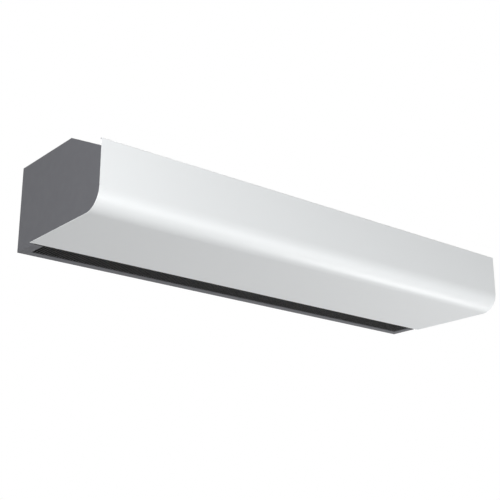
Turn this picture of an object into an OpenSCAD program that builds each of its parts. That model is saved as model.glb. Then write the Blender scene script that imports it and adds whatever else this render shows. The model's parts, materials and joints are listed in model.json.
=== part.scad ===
// Air curtain for mounting above a doorway.
// Axes: X runs along the unit, Y points back to the wall, Z points up.
// The origin is below the middle of the unit, level with its underside.
// Most pieces are drawn with Y measured back from the front of the cover
// and are then moved to their place by from_front().

/* [Overall size] */
// Length of the front cover
cover_len = 1560; // [1500:10:2200]
// How far the cover stands past the casing at each end
overhang = 15; // [5:1:30]
// Depth from the front of the cover to the wall
depth = 457; // [450:1:520]
// Height of the casing
height = 254; // [250:1:300]

/* [Front cover] */
// How far the top edge of the cover stands above the front edge of the slope
cover_rise = 20; // [14:1:30]
// Outer radius of the bend between front and underside
cover_bend_r = 60; // [30:1:90]
// Thickness of the cover sheet
cover_t = 1.2; // [1:0.1:1.5]
// Depth of the return at the top edge
cover_lip = 8; // [4:1:9]
// Width of the stiffening ribs inside the cover
rib_w = 40; // [20:1:60]
// Height of the stiffening ribs
rib_h = 7; // [4:1:10]
// How far from the middle of the cover the ribs stand
rib_x = 300; // [200:10:330]

/* [Casing] */
// Thickness of the casing sheet
sheet_t = 1.2; // [1:0.1:1.5]
// Depth of the flat top, from the wall to the slope
top_d = 273; // [270:1:290]
// Height of the front edge of the slope
slope_front_z = 167; // [160:1:172]
// Gap between the inside of the cover and the casing
cover_gap = 1.8; // [1.5:0.1:3]
// Width of the folded flanges of the end panels
end_flange = 16; // [12:1:20]
// Width of the front rail that the cover is screwed to
rail_w = 31; // [28:1:36]
// Height of the fold at the back of the front rail
rail_fold = 18; // [10:1:22]

/* [Air intake] */
// Length of one intake slot
slot_len = 104; // [60:1:110]
// Width of one intake slot
slot_w = 6; // [4:0.5:7]
// Distance from one row of slots to the next
slot_pitch = 11; // [9:0.5:11]
// Distance from one column of slots to the next
slot_step = 122; // [115:1:124]

/* [Air outlet] */
// Open gap between the cover and the outlet
outlet_gap = 5; // [4.5:0.5:8]
// Width of the outlet from front to back
outlet_d = 68.8; // [60:0.1:75]
// Width of the grey strip behind the outlet
strip_w = 27; // [20:1:32]
// Width of the grey strip at each end of the outlet
strip_end = 28; // [25:0.1:50]
// Distance from one fin of the outlet grille to the next
fin_pitch = 9; // [7:0.5:14]
// Thickness of a fin
fin_t = 1; // [0.8:0.1:2]
// Height of the outlet grille
fin_h = 20; // [12:1:26]
// Width of the rail along the front and back of the outlet grille
fin_rail = 3; // [2:0.5:5]

/* [Fans] */
// Radius of a fan wheel
wheel_r = 73; // [66:1:75]
// Width of a fan wheel
wheel_w = 150; // [120:1:160]
// Number of blades around a fan wheel
blade_count = 30; // [20:1:36]
// Radial depth of the blades
blade_depth = 12; // [8:1:14]
// Gap between wheel and housing at the tongue
tongue_gap = 7; // [4:1:9]
// Growth of the scroll from the tongue to the outlet
scroll_growth = 42; // [34:1:46]
// Height of the fan axis above the deck that the fans blow through
fan_drop = 79; // [76:1:84]
// Thickness of the scroll sheet
scroll_t = 1; // [0.8:0.1:1.2]
// Gap between the wheel and each side plate
side_gap = 6; // [4:1:8]
// Gap between the scrolls and the back of the casing
scroll_back_gap = 15; // [14:1:20]
// Gap between the scrolls and the top of the casing
scroll_top_gap = 3.8; // [3:0.1:6]
// Distance of each motor from the middle of the unit
motor_x = 365; // [355:1:380]
// Gap between a motor and the scroll beside it
inlet_gap = 60; // [50:1:62]

/* [Motors] */
// Radius of a motor
motor_r = 52; // [46:1:56]
// Length of a motor
motor_len = 110; // [100:1:120]
// Wall of the motor housing
motor_wall = 2.5; // [2:0.1:3]
// Radius of the motor shaft
shaft_r = 6; // [5:0.5:8]
// Outer radius of the motor bearings
bearing_r = 16; // [14:1:18]
// Width of the motor bearings
bearing_w = 9; // [7:1:10]
// Radius of the rotor core
core_r = 31; // [26:1:33]
// Length of the rotor core and of the stator's iron
core_len = 56; // [40:1:60]
// Air gap between rotor and stator
air_gap = 0.5; // [0.4:0.1:1]

/* [Hinges] */
// Distance of the outer hinges from the ends of the casing
hinge_end = 205; // [100:1:300]
// Width of a hinge
hinge_w = 60; // [50:1:80]
// Radius of a hinge knuckle
knuckle_r = 3.2; // [3:0.1:3.3]
// Radius of a hinge pin
pin_r = 1.6; // [1.4:0.1:1.8]
// Distance of the hinge pin in front of the rear edge of the cover
pin_back = 3.5; // [3:0.1:4]
// Gap between the hinge knuckles and the cover sheet
knuckle_clear = 0.4; // [0.3:0.1:0.6]

/* [Fixings] */
// Radius of the wall bolt holes
wall_hole_r = 4.5; // [4:0.5:6]
// Distance of the wall bolt holes from the ends of the casing
wall_end = 65; // [50:1:120]
// Distance between the wall bolt holes up the wall
wall_span_z = 110; // [80:1:120]
// Height of the lower wall bolt holes
wall_low_z = 105; // [90:1:110]
// Radius of the holes for the ceiling rods
rod_hole_r = 4.2; // [4.2:0.1:5]
// Distance of the ceiling rods from the ends of the casing
rod_end = 65; // [60:1:120]
// Distance between the ceiling rods across the unit
rod_span_y = 200; // [180:1:210]
// Depth from the wall to the rear ceiling rods
rod_back = 42; // [35:1:50]
// Radius of the cable openings in the grommets
cable_hole_r = 6; // [5:0.5:7]
// Radius of the thread of the cover screws
cover_screw_r = 2.4; // [2:0.1:2.5]
// Distance of the outer cover screws from the ends of the casing
cover_screw_end = 85; // [60:1:150]

/* [Control box] */
// Length of the control box
box_len = 168; // [150:1:180]
// Depth of the control box
box_d = 104; // [96:1:112]
// Height of the control box
box_h = 116; // [110:1:126]
// Height of the bottom of the control box
box_z = 30; // [24:1:36]
// Gap between the control box and the scroll housing behind it
box_gap = 24; // [16:1:30]

/* [Hidden] */
$fn = 48;

// Casing, worked out
body_half = cover_len / 2 - overhang;
in_half = body_half - sheet_t;
casing_front = cover_t + cover_gap;
casing_back = depth - sheet_t;
casing_r = max(cover_bend_r - casing_front, 5);
cover_top = slope_front_z + cover_rise;
cover_under = depth - strip_w - outlet_d - sheet_t - outlet_gap;
slope_back = depth - top_d;
slope_a = atan2(height - slope_front_z, slope_back - casing_front);
slope_len = (slope_back - casing_front) / cos(slope_a);
grille_len = slope_len - rail_w;
grille_rest = 14;
grille_end_gap = 1;
grille_fold = 12;
corner_gap = 6;
past = 3;
rivet_r = 1.6;
rivet_head_r = 3.2;
rivet_head_h = 1.2;
rivet_x = in_half - end_flange / 2;
rivet_inset = 20;
rivet_step = 65;
BACK_RIVET_Z = [for (i = [0:2]) height - rivet_inset - i * rivet_step];
TOP_RIVET_BACK = [for (t = [0.13, 0.48, 0.83]) t * top_d];
SLOPE_RIVET_S = [-30, -grille_len / 2, 30 - grille_len];
slot_cols = floor(2 * (in_half - end_flange) / slot_step);
slot_rows = floor((grille_len - grille_rest - 2 * slot_w) / slot_pitch);
press_fit = 0.02;
screw_fit = 0.3;
wall_x = body_half - wall_end;
rod_x = body_half - rod_end;
grommet_x = rod_x + 22;
grommet_hole_r = cable_hole_r + 4;
grommet_step = 50;
grommet_back = rod_back + rod_span_y / 2 - 35;
GROMMET_BACK = [grommet_back + grommet_step, grommet_back];

// Outlet, worked out
wall_front = cover_under + outlet_gap;
wall_back = wall_front + sheet_t;
outlet_back = depth - strip_w;
outlet_half = body_half - strip_end;
fin_z = sheet_t;
throat_h = fin_h + 6;
outlet_screw_len = sheet_t + fin_rail - 0.6;

// Fans, worked out
scroll_start_r = wheel_r + tongue_gap;
scroll_end_r = scroll_start_r + scroll_growth;
tongue_a = -45;
sweep_a = 315;
top_share = 225 / sweep_a;
fan_y = casing_back - scroll_back_gap - scroll_end_r - scroll_t;
fan_z = height - sheet_t - scroll_top_gap - scroll_start_r - scroll_growth * top_share - scroll_t;
deck_top = fan_z - fan_drop;
deck_z = deck_top - sheet_t;
front_share = 135 / sweep_a;
scroll_front = fan_y - scroll_start_r - scroll_growth * front_share - scroll_t;
tongue_y = scroll_start_r * cos(tongue_a);
scroll_w = wheel_w + 2 * side_gap + 2 * scroll_t;
scroll_x = motor_len / 2 + inlet_gap + scroll_w / 2;
inlet_r = wheel_r - blade_depth - 3;
scroll_flange = 12;
deck_gap = 1;
flange_t = 1.5;
inlet_wall = 1.5;
inlet_lip = 5;
blade_t = 0.9;
blade_inset = 0.2;
hub_r = shaft_r + 9;
hub_len = 26;
disc_t = 2;
ring_t = 3;
shaft_fit = 0.05;
fan_screw_r = 2;
fan_screw_x = (scroll_w + scroll_flange) / 2;
hub_screw_r = 2.5;
hub_screw_x = (hub_len + disc_t) / 4;
deck_fold = 12;
wall_fold = 14;
outlet_screw_r = 1.5;
OUTLET_SCREW_X = [for (i = [-2:2]) i * floor(outlet_half / 3 / fin_pitch) * fin_pitch + fin_pitch / 2];
shaft_half = scroll_x + hub_len / 2 + 4;
MOTOR_X = [-motor_x, motor_x];
FAN_X = [-motor_x - scroll_x, -motor_x + scroll_x, motor_x - scroll_x, motor_x + scroll_x];

// Motors, worked out
end_cap_t = 4;
boss_reach = 4;
boss_wall = 5;
boss_clear = 1;
bearing_mid = motor_len / 2 + 1 - bearing_w / 2;
winding_reach = 12;
winding_step = 4;
winding_gap = 2;

// Motor mounts, worked out
cradle_w = 76;
cradle_t = 3;
cradle_rib_t = 4;
cradle_front = fan_y - motor_r - 2;
cradle_ear_t = 3;
strap_w = 14;
strap_t = 1.5;
strap_ear = 14;
strap_x = (cradle_w - strap_w) / 2;
strap_z = fan_z - 22;
strap_screw_r = 2;
STRAP_SCREW_Y = [cradle_front - strap_ear / 2, 2 * fan_y - cradle_front + strap_ear / 2];

// Hinges, worked out
pin_y = cover_under - pin_back;
pin_z = cover_t + knuckle_r + knuckle_clear;
pin_fit = 0.05;
fixed_knuckle = hinge_w * 0.44;
knuckle_gap = 0.5;
leaf_t = 1.2;
HINGE_X = [for (i = [-1:1]) i * (body_half - hinge_end)];
crank_z = pin_z + 7.4;
leaf_h = 22;
leaf_reach = 34;
leaf_front = pin_y - leaf_reach;
hinge_clear_r = 7;

// Cover fixings, worked out
rail_screw_s = -slope_len + 12;
flange_fit = 0.4;
nut_h = 5;
nut_r = 4.5;
COVER_SCREW_X = [for (i = [-2:2]) i * (body_half - cover_screw_end) / 2];
flange_sheet = 1.5;
flange_leg = 37;
flange_low_z = slope_front_z - flange_leg;
flange_reach = 26;
flange_end_gap = 8;
cover_flange_half = in_half - end_flange - flange_end_gap;
rib_sheet = 1;
rib_back = leaf_front - 12;
rib_top = flange_low_z - 6;

// Control box, worked out
box_x = in_half - box_len;
box_t = 1.2;
box_back = scroll_front - box_gap;
box_front = box_back - box_d;
box_lip = 6;
lid_inset = 0.5;
box_cable_y = box_back - 26;
box_grommet_r = 7;
lid_screw_r = 1.5;
LID_SCREW_X = [box_x + 20, box_x + box_len - 20];
LID_SCREW_Z = [box_z - box_lip / 2, box_z + box_h + box_lip / 2];
box_floor = box_z + box_t;
box_wall = box_back - box_t;
board_x = box_x + 12;
board_len = 90;
board_h = 64;
board_z = box_z + box_h - box_t - board_h - 10.8;
board_t = 1.6;
board_gap = 8;
post_r = 2.5;
post_inset = 5;
board_front = box_wall - board_gap - board_t;
RELAY = [20, 12, 16];
RELAY_AT = [12, 36];
DRIVER = [28, 16, 20];
DRIVER_AT = [42, 34];
TRANSFORMER = [42, 40, 36];
TRANSFORMER_CORE = [28, 8, 24];
transformer_x = in_half - box_t - 6.8 - TRANSFORMER[0];
terminal_d = 30;
terminal_h = 26;
terminal_pitch = 10;
terminal_count = floor((transformer_x - board_x - 5) / terminal_pitch);
terminal_hole_r = 2.6;
capacitor_x = transformer_x + TRANSFORMER[0] / 2;
capacitor_r = 13;
capacitor_len = 58;
capacitor_gap = (box_h - 2 * box_t - TRANSFORMER[2] - 4 * capacitor_r) / 3;
CAPACITOR_Z = [for (i = [0:1])
  box_floor + TRANSFORMER[2] + capacitor_gap + capacitor_r + i * (2 * capacitor_r + capacitor_gap)];

// Cable routes, as points on each cable's middle line
cable_r = 3.5;
cable_sides = 8;
cable_top_z = height - sheet_t - 6.5;
CABLE_LANE = [slope_back + 16, slope_back + 25];
box_cable_end = 88;
box_cable_step = 30;
CABLE_DOWN_X = [for (i = [1, 0]) in_half - box_cable_end - i * box_cable_step];
motor_stub_z = fan_z + motor_r - motor_wall;
cable_bend = 14;
cable_fit = 0.2;
CLIP_X = [-150, 40, 230, 520];
clip_w = 10;
clip_wall = 2.5;
grommet_lip = 3;
grommet_lip_h = 1.5;
rod_nut_h = 7;
rod_nut_wall = 4.5;

module from_front() translate([0, -depth / 2, 0]) children();
module along_x(x0, len) translate([x0, 0, 0]) rotate([90, 0, 90]) linear_extrude(len) children();
module mid_x(x, len) along_x(x - len / 2, len) children();
module on_slope() translate([0, slope_back, height]) rotate([slope_a, 0, 0]) children();
module on_slope_2d() translate([slope_back, height]) rotate(slope_a) children();
module at_fan(x) translate([x, fan_y, fan_z]) rotate([0, 90, 0]) children();

// A hole through a thickness t, whose axis points out of the outer surface
module hole(r, t) translate([0, 0, -t - past]) cylinder(r = r, h = t + 2 * past);

// ---------------------------------------------------------------- casing

module rear_casing_profile() {
  translate([casing_back, 0]) square([sheet_t, height]);
  translate([slope_back, height - sheet_t]) square([depth - slope_back, sheet_t]);
  on_slope_2d() translate([-grille_rest, -2 * sheet_t]) square([grille_rest + 2, sheet_t]);
}

module rear_casing() {
  color("#6b6c71") from_front() difference() {
    along_x(-in_half, 2 * in_half) rear_casing_profile();
    for (s = [-1, 1], z = [wall_low_z, wall_low_z + wall_span_z])
      translate([s * wall_x, depth, z]) rotate([-90, 0, 0]) hole(wall_hole_r, sheet_t);
    for (s = [-1, 1], y = [rod_back, rod_back + rod_span_y])
      translate([s * rod_x, depth - y, height]) hole(rod_hole_r, sheet_t);
    for (y = GROMMET_BACK) translate([grommet_x, depth - y, height]) hole(grommet_hole_r, sheet_t);
    at_casing_rivets() rivet_hole();
    at_slope_rivets() rivet_hole();
  }
}

// Each rivet's axis points out of the casing and starts on its outer surface
module at_casing_rivets() {
  for (x = [-rivet_x, rivet_x]) {
    for (z = BACK_RIVET_Z) translate([x, depth, z]) rotate([-90, 0, 0]) children();
    for (y = TOP_RIVET_BACK) translate([x, depth - y, height]) children();
  }
}

module at_slope_rivets() {
  for (x = [-rivet_x, rivet_x], s = SLOPE_RIVET_S) on_slope() translate([x, s, 0]) children();
}

module rivet_hole() hole(rivet_r + press_fit, 2 * sheet_t);

module end_outline() {
  difference() {
    polygon([
      [casing_front, casing_front], [casing_front, slope_front_z], [slope_back, height],
      [depth, height], [depth, 0], [wall_front, 0], [wall_front, casing_front]
    ]);
    translate([casing_front, casing_front]) difference() {
      square(casing_r);
      translate([casing_r, casing_r]) circle(casing_r);
    }
    translate([pin_y, pin_z]) circle(hinge_clear_r);
  }
}

module end_flanges() {
  back_z = deck_top + deck_fold + corner_gap;
  translate([casing_back - sheet_t, back_z]) square([sheet_t, height - 2 * corner_gap - back_z]);
  translate([slope_back + 2 * corner_gap, height - 2 * sheet_t])
    square([casing_back - slope_back - 3 * corner_gap, sheet_t]);
  on_slope_2d() translate([-slope_len + corner_gap, -2 * sheet_t])
    square([slope_len - grille_rest - 2 * corner_gap, sheet_t]);
}

module end_panel(side) {
  color("#6b6c71") from_front() difference() {
    mirror([side < 0 ? 1 : 0, 0, 0]) {
      along_x(in_half, sheet_t) end_outline();
      along_x(in_half - end_flange, end_flange + sheet_t / 2) end_flanges();
    }
    at_casing_rivets() rivet_hole();
    at_slope_rivets() rivet_hole();
  }
}

module front_rail() {
  color("#6b6c71") from_front() difference() {
    on_slope() {
      translate([-in_half, -slope_len, -sheet_t]) cube([2 * in_half, rail_w, sheet_t]);
      translate([-in_half + end_flange, -grille_len - sheet_t, -rail_fold])
        cube([2 * (in_half - end_flange), sheet_t, rail_fold]);
    }
    on_slope() for (x = COVER_SCREW_X)
      translate([x, rail_screw_s, 0]) hole(cover_screw_r + screw_fit, sheet_t);
  }
}

module intake_grille() {
  slots_x = (slot_cols - 1) * slot_step;
  slots_y = (slot_rows - 1) * slot_pitch;
  slot_mid = -(grille_len + grille_rest) / 2 + 3;
  color("#606166") from_front() difference() {
    on_slope() {
      translate([0, 0, -sheet_t]) linear_extrude(sheet_t) difference() {
        translate([-in_half, -grille_len]) square([2 * in_half, grille_len - grille_end_gap]);
        for (i = [0:slot_cols - 1], j = [0:slot_rows - 1])
          translate([i * slot_step - slots_x / 2, slot_mid + j * slot_pitch - slots_y / 2])
            square([slot_len, slot_w], center = true);
      }
      translate([-in_half + end_flange, -grille_len, -grille_fold])
        cube([2 * (in_half - end_flange), sheet_t, grille_fold]);
    }
    at_slope_rivets() rivet_hole();
  }
}

// ---------------------------------------------------------------- outlet

module outlet_frame() {
  color("#6b6c71") from_front() difference() {
    union() {
      linear_extrude(sheet_t) difference() {
        translate([-in_half, wall_back]) square([2 * in_half, casing_back - wall_back]);
        translate([-outlet_half, wall_back - past])
          square([2 * outlet_half, outlet_back - wall_back + past]);
      }
      translate([-outlet_half, outlet_back, 0]) cube([2 * outlet_half, sheet_t, throat_h]);
      for (s = [-1, 1]) mid_x(s * (outlet_half + sheet_t / 2), sheet_t)
        translate([wall_back, 0]) square([outlet_back - wall_back + sheet_t, throat_h]);
    }
    at_outlet_screws() outlet_screw_hole();
  }
}

module at_outlet_screws() {
  for (x = OUTLET_SCREW_X)
    translate([x, outlet_back + sheet_t, fin_z + fin_h / 2]) rotate([-90, 0, 0]) children();
}

// A blind hole: it ends inside the rail of the outlet grille
module outlet_screw_hole() translate([0, 0, -outlet_screw_len - press_fit])
  cylinder(r = outlet_screw_r + press_fit, h = outlet_screw_len + past);

module outlet_grille() {
  cells = floor((2 * outlet_half - 2 * fin_rail - fin_t) / fin_pitch);
  color("#17181a") from_front() difference() {
    translate([0, 0, fin_z]) linear_extrude(fin_h) difference() {
      translate([-outlet_half, wall_back]) square([2 * outlet_half, outlet_back - wall_back]);
      for (i = [0:cells - 1])
        translate([(i - cells / 2) * fin_pitch + fin_t / 2, wall_back + fin_rail])
          square([fin_pitch - fin_t, outlet_back - wall_back - 2 * fin_rail]);
    }
    at_outlet_screws() outlet_screw_hole();
  }
}

module outlet_screws() {
  color("#8d9094") from_front() at_outlet_screws() screw(outlet_screw_r, outlet_screw_len, 2.8, 1.8);
}

module outlet_wall() {
  color("#1d1e20") from_front() along_x(-in_half, 2 * in_half) {
    translate([wall_front, 0]) square([sheet_t, deck_z]);
    translate([wall_front, deck_z - sheet_t]) square([wall_fold, sheet_t]);
  }
}

module fan_deck() {
  color("#9a9c9e") from_front() difference() {
    along_x(-in_half, 2 * in_half) {
      translate([wall_front, deck_z]) square([casing_back - wall_front, sheet_t]);
      translate([casing_back - sheet_t, deck_z]) square([sheet_t, sheet_t + deck_fold]);
    }
    for (x = FAN_X) {
      translate([x - scroll_w / 2 + scroll_t, fan_y + tongue_y, deck_z - past])
        cube([scroll_w - 2 * scroll_t, scroll_end_r - tongue_y, sheet_t + 2 * past]);
      at_fan_screws(x) hole(fan_screw_r + press_fit, flange_t + sheet_t);
    }
  }
}

module at_fan_screws(x) {
  for (s = [-1, 1])
    translate([x + s * fan_screw_x, fan_y + (tongue_y + scroll_end_r) / 2, deck_top + flange_t]) children();
}

// ---------------------------------------------------------------- fans

function spiral(extra, steps) = [
  for (i = [0:steps])
    let(t = i / steps, a = tongue_a - sweep_a * t, r = scroll_start_r + scroll_growth * t + extra)
      [r * cos(a), r * sin(a)]
];

module scroll_shape(extra) {
  polygon(concat(spiral(extra, 36), [[0, 0]]));
  circle(scroll_start_r + extra);
  translate([tongue_y - extra, -fan_drop])
    square([scroll_end_r - tongue_y + 2 * extra, fan_drop]);
}

module scroll_housing(x) {
  flange_y0 = max(tongue_y - scroll_flange, wall_back - fan_y + deck_gap);
  flange_y1 = min(scroll_end_r + scroll_flange, casing_back - sheet_t - fan_y - deck_gap);
  color("#a9adb0") from_front() translate([0, fan_y, fan_z]) {
    mid_x(x, scroll_w) difference() {
      scroll_shape(scroll_t);
      scroll_shape(0);
      translate([tongue_y, -fan_drop - past]) square([scroll_end_r - tongue_y, 2 * past]);
    }
    for (s = [-1, 1]) mid_x(x + s * (scroll_w - scroll_t) / 2, scroll_t) difference() {
      scroll_shape(scroll_t / 2);
      circle(inlet_r + inlet_wall / 2);
    }
    for (s = [-1, 1]) mid_x(x + s * (scroll_w - inlet_lip) / 2, inlet_lip) difference() {
      circle(inlet_r + inlet_wall);
      circle(inlet_r);
    }
    translate([x, 0, -fan_drop]) linear_extrude(flange_t) difference() {
      translate([-scroll_w / 2 - scroll_flange, flange_y0])
        square([scroll_w + 2 * scroll_flange, flange_y1 - flange_y0]);
      translate([-scroll_w / 2 + scroll_t, tongue_y])
        square([scroll_w - 2 * scroll_t, scroll_end_r - tongue_y]);
      for (s = [-1, 1]) translate([s * fan_screw_x, (tongue_y + scroll_end_r) / 2])
        circle(fan_screw_r + press_fit);
    }
  }
}

module blade() {
  arc_r = blade_depth / 2;
  translate([wheel_r - arc_r - blade_inset, 0]) difference() {
    circle(r = arc_r, $fn = 24);
    circle(r = arc_r - blade_t, $fn = 24);
    translate([-2 * arc_r, -2 * arc_r]) square([4 * arc_r, 2 * arc_r]);
  }
}

module impeller(x) {
  color("#2f3236") from_front() translate([x, fan_y, fan_z]) rotate([90, 0, 90]) difference() {
    union() {
      translate([0, 0, -wheel_w / 2]) linear_extrude(wheel_w)
        for (i = [0:blade_count - 1]) rotate(i * 360 / blade_count) blade();
      for (s = [-1, 1]) translate([0, 0, s * (wheel_w - ring_t) / 2 - ring_t / 2]) linear_extrude(ring_t)
        difference() {
          circle(wheel_r);
          circle(wheel_r - blade_depth - 1);
        }
      translate([0, 0, -disc_t / 2]) cylinder(r = wheel_r, h = disc_t);
      translate([0, 0, -hub_len / 2]) cylinder(r = hub_r, h = hub_len);
    }
    translate([0, 0, -wheel_w]) cylinder(r = shaft_r + press_fit, h = 2 * wheel_w);
    translate([0, 0, hub_screw_x]) rotate([90, 0, 0]) cylinder(r = hub_screw_r + press_fit, h = hub_r + past);
  }
}

module hub_screws(i) {
  color("#4a4c50") from_front()
    for (f = [2 * i, 2 * i + 1]) translate([FAN_X[f], fan_y, fan_z]) rotate([90, 0, 90])
      translate([0, 0, hub_screw_x]) rotate([90, 0, 0])
        translate([0, 0, shaft_r + 0.1]) cylinder(r = hub_screw_r, h = hub_r - shaft_r - 0.5);
}

// ---------------------------------------------------------------- motors

module motor_housing(i) {
  color("#3c4046") from_front() at_fan(MOTOR_X[i]) difference() {
    union() {
      translate([0, 0, -motor_len / 2]) cylinder(r = motor_r, h = motor_len);
      translate([0, 0, -motor_len / 2 - boss_reach])
        cylinder(r = bearing_r + boss_wall, h = motor_len + 2 * boss_reach);
    }
    translate([0, 0, -motor_len / 2 + end_cap_t])
      cylinder(r = motor_r - motor_wall, h = motor_len - 2 * end_cap_t);
    for (s = [-1, 1]) translate([0, 0, s * bearing_mid - bearing_w / 2])
      cylinder(r = bearing_r + press_fit, h = bearing_w);
    translate([0, 0, -motor_len]) cylinder(r = shaft_r + boss_clear, h = 2 * motor_len);
    rotate([0, -90, 0]) translate([0, 0, motor_r]) hole(cable_r + cable_fit, motor_wall);
  }
}

module stator(i) {
  gap_r = core_r + air_gap;
  back_r = motor_r - motor_wall - press_fit;
  color("#8a8d90") from_front() at_fan(MOTOR_X[i]) difference() {
    union() {
      translate([0, 0, -core_len / 2]) cylinder(r = back_r, h = core_len);
      translate([0, 0, -core_len / 2 - winding_reach])
        cylinder(r = back_r - winding_step, h = core_len + 2 * winding_reach);
    }
    translate([0, 0, -core_len]) cylinder(r = gap_r, h = 2 * core_len);
    for (s = [0, 1]) mirror([0, 0, s]) translate([0, 0, core_len / 2 + winding_gap])
      cylinder(r = gap_r + winding_gap, h = winding_reach);
  }
}

module motor_bearings() {
  color("#c3c6c9") from_front() for (x = MOTOR_X, s = [-1, 1])
    at_fan(x) translate([0, 0, s * bearing_mid + bearing_w / 2]) difference() {
      translate([0, 0, -bearing_w]) cylinder(r = bearing_r, h = bearing_w);
      hole(shaft_r + shaft_fit, bearing_w);
    }
}

module motor_shaft(i) {
  color("#b9bcc0") from_front() at_fan(MOTOR_X[i]) translate([0, 0, -shaft_half])
    cylinder(r = shaft_r, h = 2 * shaft_half);
}

module rotor_core(i) {
  color("#7d8084") from_front() at_fan(MOTOR_X[i]) difference() {
    translate([0, 0, -core_len / 2]) cylinder(r = core_r, h = core_len);
    translate([0, 0, -core_len]) cylinder(r = shaft_r + press_fit, h = 2 * core_len);
  }
}

module cradle_rib() {
  difference() {
    translate([cradle_front, deck_top]) square([2 * (fan_y - cradle_front), strap_z - deck_top]);
    translate([fan_y, fan_z]) circle(motor_r + press_fit);
  }
}

module motor_cradle(i) {
  color("#a9adb0") from_front() difference() {
    union() {
      translate([MOTOR_X[i] - cradle_w / 2, cradle_front, deck_top])
        cube([cradle_w, casing_back - sheet_t - deck_gap - cradle_front, cradle_t]);
      for (s = [-1, 1]) mid_x(MOTOR_X[i] + s * (cradle_w - cradle_rib_t) / 2, cradle_rib_t) cradle_rib();
      for (s = [-1, 1], y = [cradle_front - strap_ear, 2 * fan_y - cradle_front])
        translate([MOTOR_X[i] + s * strap_x - strap_w / 2, y, strap_z - cradle_ear_t])
          cube([strap_w, strap_ear, cradle_ear_t]);
    }
    for (s = [-1, 1], y = STRAP_SCREW_Y) translate([MOTOR_X[i] + s * strap_x, y, strap_z + strap_t])
      hole(strap_screw_r + press_fit, strap_t + cradle_ear_t);
  }
}

module strap_shape() {
  difference() {
    union() {
      translate([fan_y, fan_z]) circle(motor_r + strap_t);
      translate([cradle_front - strap_ear, strap_z])
        square([2 * (fan_y - cradle_front) + 2 * strap_ear, strap_t]);
    }
    translate([fan_y, fan_z]) circle(motor_r + press_fit);
    translate([0, strap_z - 2 * motor_r]) square([2 * fan_y, 2 * motor_r]);
  }
}

module motor_straps() {
  color("#b4b7ba") from_front() difference() {
    for (x = MOTOR_X, s = [-1, 1]) mid_x(x + s * strap_x, strap_w) strap_shape();
    for (x = MOTOR_X, s = [-1, 1], y = STRAP_SCREW_Y) translate([x + s * strap_x, y, strap_z + strap_t])
      hole(strap_screw_r + press_fit, strap_t);
  }
}

// A screw whose head rests on the surface and whose thread is drawn plain
module screw(r, len, head_r, head_h) {
  translate([0, 0, -len]) cylinder(r = r, h = len);
  difference() {
    cylinder(r = head_r, h = head_h);
    translate([0, 0, head_h / 2]) cylinder(r = head_r * 0.5, h = head_h, $fn = 6);
  }
}

module strap_screws() {
  color("#8d9094") from_front() for (x = MOTOR_X, s = [-1, 1], y = STRAP_SCREW_Y)
    translate([x + s * strap_x, y, strap_z + strap_t]) screw(strap_screw_r, 8, 3.6, 2.4);
}

module fan_screws() {
  color("#8d9094") from_front() for (x = FAN_X) at_fan_screws(x)
    screw(fan_screw_r, flange_t + sheet_t + 1, 3.6, 2.4);
}

// ---------------------------------------------------------------- control box

module control_box() {
  color("#b8babc") from_front() difference() {
    union() {
      translate([box_x, box_front, box_z]) cube([box_len, box_d, box_h]);
      translate([box_x, box_front, box_z - box_lip]) cube([box_len, box_t, box_h + 2 * box_lip]);
    }
    at_lid_screws() hole(lid_screw_r + press_fit, 2 * box_t);
    translate([box_x + box_t, box_front - past, box_floor])
      cube([box_len - 2 * box_t, box_d - box_t + past, box_h - 2 * box_t]);
    for (x = CABLE_DOWN_X) translate([x, box_cable_y, box_z + box_h]) hole(box_grommet_r, box_t);
  }
}

module at_lid_screws() {
  for (x = LID_SCREW_X, z = LID_SCREW_Z) translate([x, box_front - box_t, z]) rotate([90, 0, 0]) children();
}

module control_box_lid() {
  color("#c2c4c6") from_front() difference() {
    translate([box_x + lid_inset, box_front - box_t, box_z - box_lip])
      cube([box_len - 2 * lid_inset, box_t, box_h + 2 * box_lip]);
    at_lid_screws() hole(lid_screw_r + press_fit, box_t);
  }
}

module lid_screws() {
  color("#8d9094") from_front() at_lid_screws() screw(lid_screw_r, 4, 2.8, 2);
}

module control_board() {
  color("#2f6b3a") from_front() {
    translate([board_x, board_front, board_z]) cube([board_len, board_t, board_h]);
    for (x = [post_inset, board_len - post_inset], z = [post_inset, board_h - post_inset])
      translate([board_x + x, box_wall, board_z + z]) rotate([90, 0, 0]) cylinder(r = post_r, h = board_gap);
    translate([board_x + RELAY_AT[0], board_front - RELAY[1], board_z + RELAY_AT[1]]) cube(RELAY);
    translate([board_x + DRIVER_AT[0], board_front - DRIVER[1], board_z + DRIVER_AT[1]]) cube(DRIVER);
  }
}

module terminal_block() {
  color("#d8d9d6") from_front() translate([board_x, box_wall - terminal_d, box_floor]) difference() {
    cube([terminal_count * terminal_pitch, terminal_d, terminal_h]);
    for (i = [0:terminal_count - 1])
      translate([(i + 0.5) * terminal_pitch, terminal_d / 4, terminal_h]) hole(terminal_hole_r, past);
  }
}

module transformer() {
  color("#55585c") from_front() translate([transformer_x, box_wall - TRANSFORMER[1], box_floor]) {
    cube(TRANSFORMER);
    translate([(TRANSFORMER[0] - TRANSFORMER_CORE[0]) / 2, -TRANSFORMER_CORE[1], 6]) cube(TRANSFORMER_CORE);
  }
}

module motor_capacitors() {
  color("#e3e3df") from_front() for (z = CAPACITOR_Z)
    translate([capacitor_x, box_wall, z]) rotate([90, 0, 0]) cylinder(r = capacitor_r, h = capacitor_len);
}

// ---------------------------------------------------------------- cables

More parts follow.
